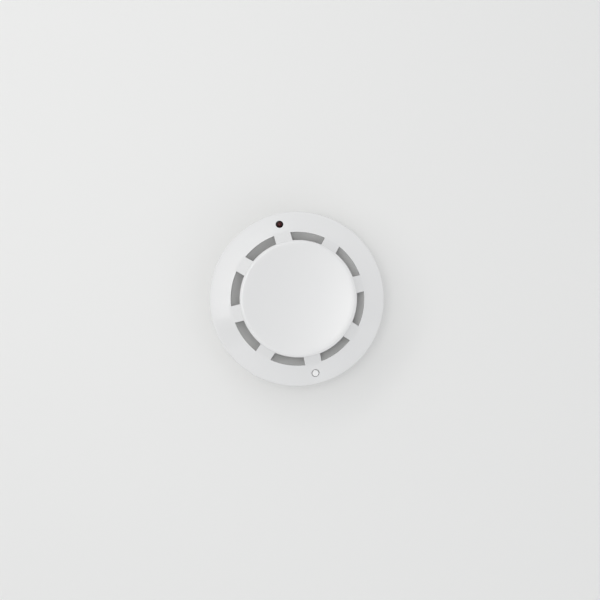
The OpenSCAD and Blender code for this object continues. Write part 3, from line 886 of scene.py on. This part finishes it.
# %% Light pipe and lamp
PIPE_LOW_Z = 21
LENS_TOP_Z = 28.9
COLLAR_R = 3
COLLAR_TOP_Z = BOSS_LOW_Z - 0.1
COLLAR_LOW_Z = BOSS_LOW_Z - 1.1
pipe_line = rounded_line([
    (0, PIPE_LOW_Z, 0),
    (PIPE_R, PIPE_LOW_Z, 0.3),
    (PIPE_R, COLLAR_LOW_Z, 0),
    (COLLAR_R, COLLAR_LOW_Z, 0.2),
    (COLLAR_R, COLLAR_TOP_Z, 0.1),
    (PIPE_R, COLLAR_TOP_Z, 0),
    (PIPE_R, LENS_TOP_Z - 1.2, 0.9),
    (0.9, LENS_TOP_Z - 0.15, 1.2),
    (0, LENS_TOP_Z, 0),
])
pipe = turned("lens", pipe_line, RED_LENS, y=LENS_Y, sides=64)
soften(pipe, 0.05, steps=2, angle=50)
finished(pipe, "head", "red_lens", "light_pipe")

LAMP_R = 1.5
LAMP_FOOT_R = 1.9
LAMP_LOW_Z = 15.2
LAMP_FOOT_Z = 16.2
LAMP_TOP_Z = 20.4
lamp_line = rounded_line([
    (0, LAMP_LOW_Z, 0),
    (LAMP_FOOT_R, LAMP_LOW_Z, 0.15),
    (LAMP_FOOT_R, LAMP_FOOT_Z, 0.2),
    (LAMP_R, LAMP_FOOT_Z, 0),
    (LAMP_R, LAMP_TOP_Z, 1.4),
    (0, LAMP_TOP_Z, 0),
])
lamp = turned("lamp", lamp_line, RED_LENS, y=LENS_Y, sides=48)
soften(lamp, 0.05, steps=2, angle=50)
finished(lamp, "head", "red_lens", "indicator_led")

# %% [markdown]
# The test button is a white pin with a rounded edge. Its flange stops it from below against the boss,
# and its stem rests on the plunger of a small switch. The pin, the plunger and the coils of the spring
# round them are separate pieces, because each is made in another material.

# %% Test button and plunger
PLUNGER_R = 1.75
PLUNGER_LOW_Z = 17.1
PLUNGER_TOP_Z = 18.9
STEM_R = 1.5
FLANGE_R = 3.1
FLANGE_LOW_Z = 23.2
FLANGE_TOP_Z = 24.2
BUTTON_R = 1.85
BUTTON_TOP_Z = 28.5
BUTTON_HOLLOW_Z = BUTTON_TOP_Z - 0.06
button_line = rounded_line([
    (0, PLUNGER_TOP_Z, 0),
    (STEM_R, PLUNGER_TOP_Z, 0.3),
    (STEM_R, FLANGE_LOW_Z, 0),
    (FLANGE_R, FLANGE_LOW_Z, 0.15),
    (FLANGE_R, FLANGE_TOP_Z, 0.15),
    (BUTTON_R, FLANGE_TOP_Z, 0),
    (BUTTON_R, BUTTON_TOP_Z, 0.4),
    (0.5, BUTTON_HOLLOW_Z, 0.5),
    (0, BUTTON_HOLLOW_Z, 0),
])
button = turned("button", button_line, LIT_BUTTON_WHITE, y=BUTTON_Y, sides=64)
soften(button, 0.05, steps=2, angle=50)
finished(button, "test_button", "cover_plastic", "test_button")

plunger_line = rounded_line([
    (0, PLUNGER_LOW_Z, 0),
    (PLUNGER_R, PLUNGER_LOW_Z, 0.1),
    (PLUNGER_R, PLUNGER_TOP_Z, 0.3),
    (0, PLUNGER_TOP_Z, 0),
])
plunger = turned("plunger", plunger_line, BLACK_PLASTIC, y=BUTTON_Y, sides=48)
soften(plunger, 0.05, steps=2, angle=50)
finished(plunger, "test_button", "black_plastic", "switch_plunger")

# %% [markdown]
# A compression spring follows a rule: its first and last turns lie flat, and the turns between them climb.
# The tree starts from a flat spiral, lifts its points by that rule and sweeps the wire along it.

# %% Button spring
def spring_tree():
    sizes = {"Turns": "Float", "Radius": "Float", "Height": "Float", "Gauge": "Float"}
    tree, start, end = new_tree("coil_spring", **sizes, Place="Vector", Finish="Material")
    link = tree.links.new
    spiral = tree.nodes.new("GeometryNodeCurveSpiral")
    spiral.inputs["Resolution"].default_value = 20
    link(start.outputs["Turns"], spiral.inputs["Rotations"])
    link(start.outputs["Radius"], spiral.inputs["Start Radius"])
    link(start.outputs["Radius"], spiral.inputs["End Radius"])
    spiral.inputs["Height"].default_value = 0.0
    along = tree.nodes.new("GeometryNodeSplineParameter")
    climb = tree.nodes.new("ShaderNodeMapRange")
    climb.interpolation_type = "SMOOTHERSTEP"
    climb.inputs["From Min"].default_value = 0.1
    climb.inputs["From Max"].default_value = 0.9
    link(along.outputs["Factor"], climb.inputs["Value"])
    link(start.outputs["Height"], climb.inputs["To Max"])
    rise = tree.nodes.new("ShaderNodeCombineXYZ")
    link(climb.outputs[0], rise.inputs["Z"])
    lifted = tree.nodes.new("GeometryNodeSetPosition")
    link(spiral.outputs[0], lifted.inputs["Geometry"])
    link(rise.outputs[0], lifted.inputs["Offset"])
    wire = tree.nodes.new("GeometryNodeCurvePrimitiveCircle")
    wire.inputs["Resolution"].default_value = 12
    link(start.outputs["Gauge"], wire.inputs["Radius"])
    swept = tree.nodes.new("GeometryNodeCurveToMesh")
    swept.inputs["Fill Caps"].default_value = True
    link(lifted.outputs[0], swept.inputs["Curve"])
    link(wire.outputs[0], swept.inputs["Profile Curve"])
    moved = tree.nodes.new("GeometryNodeTransform")
    link(swept.outputs[0], moved.inputs["Geometry"])
    link(start.outputs["Place"], moved.inputs["Translation"])
    real = tree.nodes.new("GeometryNodeRealizeInstances")
    link(moved.outputs[0], real.inputs[0])
    smooth = tree.nodes.new("GeometryNodeSetShadeSmooth")
    link(real.outputs[0], smooth.inputs[0])
    paint = tree.nodes.new("GeometryNodeSetMaterial")
    link(smooth.outputs[0], paint.inputs["Geometry"])
    link(start.outputs["Finish"], paint.inputs["Material"])
    link(paint.outputs[0], end.inputs[0])
    return tree


SPRING_LOW_Z = 18.13
SPRING_HIGH_Z = 23.17
SPRING_R = 2.4
SPRING_WIRE_R = 0.25
SPRING_TURNS = 6.0
spring = new_piece("spring", [(0, BUTTON_Y, SPRING_LOW_Z)], [], DRAWN_WIRE)
run_tree(
    spring,
    spring_tree(),
    Turns=SPRING_TURNS,
    Radius=SPRING_R * MM,
    Height=(SPRING_HIGH_Z - SPRING_LOW_Z - 2 * SPRING_WIRE_R) * MM,
    Gauge=SPRING_WIRE_R * MM,
    Place=(0.0, BUTTON_Y * MM, (SPRING_LOW_Z + SPRING_WIRE_R) * MM),
    Finish=DRAWN_WIRE,
)
finished(spring, "head", "spring_wire", "button_spring")
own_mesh(spring)

# %% [markdown]
# The thermistor is a dark epoxy bead on two tinned wires. They run straight up through the sleeve and
# close in on the bead, so that nothing but air touches it. A second bead on the board follows the
# temperature inside the head, and the circuit compares the two.

# %% Thermistors
def wires(name, paths, radius, finish):
    curve = bpy.data.curves.new(name, "CURVE")
    curve.dimensions = "3D"
    curve.bevel_depth = radius * MM
    curve.bevel_resolution = 4
    curve.use_fill_caps = True
    for path in paths:
        spline = curve.splines.new("BEZIER")
        spline.bezier_points.add(len(path) - 1)
        for knot, place in zip(spline.bezier_points, path):
            knot.co = Vector(place) * MM
            knot.handle_left_type = "AUTO"
            knot.handle_right_type = "AUTO"
    holder = bpy.data.objects.new(name, curve)
    bpy.context.scene.collection.objects.link(holder)
    bpy.context.view_layer.update()
    mesh = bpy.data.meshes.new_from_object(holder.evaluated_get(bpy.context.evaluated_depsgraph_get()))
    bpy.data.objects.remove(holder)
    mesh.materials.clear()
    mesh.materials.append(finish)
    mesh.shade_smooth()
    piece = bpy.data.objects.new(name, mesh)
    bpy.context.scene.collection.objects.link(piece)
    face_outwards(piece)
    return piece


BEAD_Z = 31.5
BEAD_R = 1.1
BEAD_STRETCH = 1.3
QUARTER_STEPS = 8
bead_line = [Vector((0, BEAD_Z - 1.43))]
bead_line += [Vector((0.42, BEAD_Z - 1.36)), Vector((0.62, BEAD_Z - 1.15))]
for i in range(-5, QUARTER_STEPS + 1):
    turn = math.radians(90 * i / QUARTER_STEPS)
    bead_line.append(Vector((BEAD_R * math.cos(turn), BEAD_Z + BEAD_STRETCH * BEAD_R * math.sin(turn))))
bead_line[-1].x = 0
bead = turned("bead", bead_line, DARK_EPOXY, sides=48)
soften(bead, 0.02, steps=1, angle=70)
finished(bead, "head", "dark_epoxy", "sensing_thermistor")

LEAD_R = 0.25
LAMP_LEAD_X = 1.3
lead_line = ((0.65, BOARD_TOP_Z), (0.65, 27.5), (0.62, 28.6), (0.33, 30.3))
lead_paths = [[(x * side, 0, z) for x, z in lead_line] for side in (-1, 1)]
leads = wires("bead_leads", lead_paths, LEAD_R, TINNED)
finished(leads, "head", "tinned_wire", "thermistor_leads")
lamp_heights = (BOARD_TOP_Z, BOARD_TOP_Z + 0.4, BOARD_TOP_Z + 0.8)
lamp_paths = [[(LAMP_LEAD_X * side, LENS_Y, z) for z in lamp_heights] for side in (-1, 1)]
finished(wires("lamp_leads", lamp_paths, LEAD_R, TINNED), "head", "tinned_wire")

# %% [markdown]
# Moulded and stamped parts keep the design's own shape. Their meshes are copied and welded, and then every
# edge gets the small radius that a mould or a press leaves.

# %% Parts with softened edges
def softened(node, body, slot, finish, width):
    shape = bmesh.new()
    shape.from_mesh(bpy.data.objects[node].data)
    bmesh.ops.remove_doubles(shape, verts=shape.verts, dist=0.001 * MM)
    shape.verts.index_update()
    vertices = [v.co / MM for v in shape.verts]
    faces = [[v.index for v in face.verts] for face in shape.faces]
    shape.free()
    piece = new_piece(node + "_soft", vertices, faces, finish)
    soften(piece, width, steps=2)
    finished(piece, body, slot, node)


softened("base_plate", "base", "white_moulding", SATIN_WHITE, 0.22)
softened("chassis", "head", "white_moulding", SATIN_WHITE, 0.2)
softened("thermistor_sleeve", "head", "white_moulding", SATIN_WHITE, 0.1)
softened("circuit_board", "head", "board_green", BOARD_GREEN, 0.06)
softened("test_switch", "head", "switch_body", BLACK_PLASTIC, 0.08)
for i in range(1, 5):
    softened(f"base_contact_{i}", "base", "phosphor_bronze", SPRING_STRIP, 0.06)
    softened(f"terminal_clamp_{i}", "base", "plated_steel", PLATED_STEEL, 0.12)
    softened(f"head_contact_{i}", "head", "plated_brass", PLATED_BRASS, 0.08)
softened("terminal_screws", "base", "plated_steel", PLATED_STEEL, 0.08)
softened("cover_screws", "head", "plated_steel", PLATED_STEEL, 0.08)
softened("board_screws", "head", "plated_steel", PLATED_STEEL, 0.08)
softened("reservoir_capacitor", "head", "capacitor_can", CAN, 0.05)
softened("reference_thermistor", "head", "dark_epoxy", DARK_EPOXY, 0.05)

# %% [markdown]
# Surface-mounted parts are small blocks in rows: a dark or tan body between two tinned ends, or a moulded
# package with bent leads. One tree sets a block on every point it is given, so a row is only a list of
# places, and the bodies and their metal are separate pieces in separate finishes.

# %% Blocks on points
def blocks_tree():
    tree, start, end = new_tree("blocks_on_points", Size="Vector", Finish="Material")
    block = tree.nodes.new("GeometryNodeMeshCube")
    copies = tree.nodes.new("GeometryNodeInstanceOnPoints")
    real = tree.nodes.new("GeometryNodeRealizeInstances")
    paint = tree.nodes.new("GeometryNodeSetMaterial")
    link = tree.links.new
    link(start.outputs["Size"], block.inputs["Size"])
    link(start.outputs["Geometry"], copies.inputs["Points"])
    link(block.outputs[0], copies.inputs["Instance"])
    link(copies.outputs[0], real.inputs[0])
    link(real.outputs[0], paint.inputs["Geometry"])
    link(start.outputs["Finish"], paint.inputs["Material"])
    link(paint.outputs[0], end.inputs[0])
    return tree


BLOCKS = blocks_tree()
BOARD_SLOTS = {
    BLACK_PLASTIC: "black_plastic",
    RESISTOR: "resistor_ceramic",
    TAN_CERAMIC: "tan_ceramic",
    TINNED: "tinned_wire",
}


def blocks(name, size, places, low_z, finish, edge, *nodes):
    """Blocks of one size (x, y, z), centred on the places (x, y), with their undersides at low_z."""
    points = [(x, y, low_z + size[2] / 2) for x, y in places]
    piece = new_piece(name, points, [], finish)
    run_tree(piece, BLOCKS, Size=tuple(length * MM for length in size), Finish=finish)
    soften(piece, edge, steps=2)
    finished(piece, "head", BOARD_SLOTS[finish], *nodes)


def both_ends(places, reach):
    return [(x + side * reach, y) for x, y in places for side in (-1, 1)]


print("tree:", BLOCKS.name)

# %% [markdown]
# Resistors and ceramic capacitors share one footprint. The metal at each end wraps round the body, so it
# stands a little proud of it, and the body stops short of the ends.

# %% Resistors and ceramic capacitors
CHIP = (2.0, 1.25)
END_L = 0.34
inner_l = CHIP[0] - 1.6 * END_L
end_reach = (CHIP[0] - END_L) / 2
resistor_places = [(-10 + 4 * i, -7) for i in range(6)]
resistor_places += [(-8 + 4 * i, -18) for i in range(5)]
resistor_places += [(-5, 36), (5, 36)]
ceramic_places = [(-9, 10), (-9, 14), (9, 12), (9, 16), (-17, 0), (5, -13)]

for kind, node, places, height, finish in (
    ("resistor", "resistors", resistor_places, 0.5, RESISTOR),
    ("ceramic", "ceramic_capacitors", ceramic_places, 0.9, TAN_CERAMIC),
):
    body_size = (inner_l, CHIP[1] - 0.1, height - 0.08)
    blocks(kind + "_bodies", body_size, places, BOARD_TOP_Z + 0.03, finish, 0.05, node)
    ends = both_ends(places, end_reach)
    blocks(kind + "_ends", (END_L, CHIP[1], height), ends, BOARD_TOP_Z, TINNED, 0.07)

# %% [markdown]
# A lead leaves its package at half height, drops beside it and lies flat on the board. Three short blocks
# make that bend, and rows of them stand along both long sides.

# %% Moulded packages
LEAD_STRIP = 0.22
FOOT_L = 0.75
SHOULDER_L = 0.4


def package(name, centre, size, leads, pitch, lead_w, node):
    """A package; each part of its leads is listed with its size, reach and underside."""
    x, y = centre
    edge_y = size[1] / 2
    half_h = size[2] * 0.5
    blocks(name + "_body", size, [centre], BOARD_TOP_Z + 0.15, BLACK_PLASTIC, 0.15, node)
    columns = [x + (i - (leads - 1) / 2) * pitch for i in range(leads)]
    parts = (
        ("feet", (lead_w, FOOT_L, LEAD_STRIP), edge_y + 0.62, BOARD_TOP_Z),
        ("drops", (lead_w, LEAD_STRIP, half_h), edge_y + 0.28, BOARD_TOP_Z + 0.02),
        ("shoulders", (lead_w, SHOULDER_L, 0.2), edge_y + 0.15, BOARD_TOP_Z + half_h - 0.16),
    )
    for part, lead_size, reach, low_z in parts:
        places = [(column, y + side * reach) for column in columns for side in (-1, 1)]
        blocks(f"{name}_{part}", lead_size, places, low_z, TINNED, 0.05)


package("comparator", (0, 13), (8.7, 3.9, 1.5), leads=7, pitch=1.27, lead_w=0.42, node="comparator_ic")
package("bridge", (-14, -12), (4.7, 4, 2.4), leads=2, pitch=2.54, lead_w=0.7, node="bridge_rectifier")
suppressor_at = [(14, -13)]
suppressor_size = (4.4, 3.6, 2.2)
body_low_z = BOARD_TOP_Z + 0.1
blocks("suppressor_body", suppressor_size, suppressor_at, body_low_z, BLACK_PLASTIC, 0.2, "surge_suppressor")
suppressor_ends = both_ends(suppressor_at, suppressor_size[0] / 2)
blocks("suppressor_ends", (1.0, 2, 0.6), suppressor_ends, BOARD_TOP_Z, TINNED, 0.08)

# %% [markdown]
# The three transistors are smaller packages with one lead on one side and two on the other. Two of them
# are turned a quarter turn, so each place carries the direction of its single lead.

# %% Transistors
TRANSISTOR = (2.9, 1.3, 1)
LEAD_REACH = 0.9
HALF_PAIR = 0.95
single_leads = [((12, 6), (0, 1)), ((16, 0), (-1, 0)), ((-12, 4), (-1, 0))]
upright = [place for place, way in single_leads if way[0] == 0]
turned_over = [place for place, way in single_leads if way[0] != 0]
turned_size = (TRANSISTOR[1], TRANSISTOR[0], TRANSISTOR[2])
body_low_z = BOARD_TOP_Z + 0.05
blocks("transistor", TRANSISTOR, upright, body_low_z, BLACK_PLASTIC, 0.1, "transistors")
blocks("turned_transistors", turned_size, turned_over, body_low_z, BLACK_PLASTIC, 0.1)
lead_places = []
for (x, y), (way_x, way_y) in single_leads:
    reach_x = way_x * LEAD_REACH
    reach_y = way_y * LEAD_REACH
    lead_places.append((x + reach_x, y + reach_y))
    for side in (-1, 1):
        lead_places.append((x - reach_x + side * way_y * HALF_PAIR, y - reach_y + side * way_x * HALF_PAIR))
blocks("transistor_leads", (0.5, 0.5, 0.3), lead_places, BOARD_TOP_Z, TINNED, 0.05)

# %% [markdown]
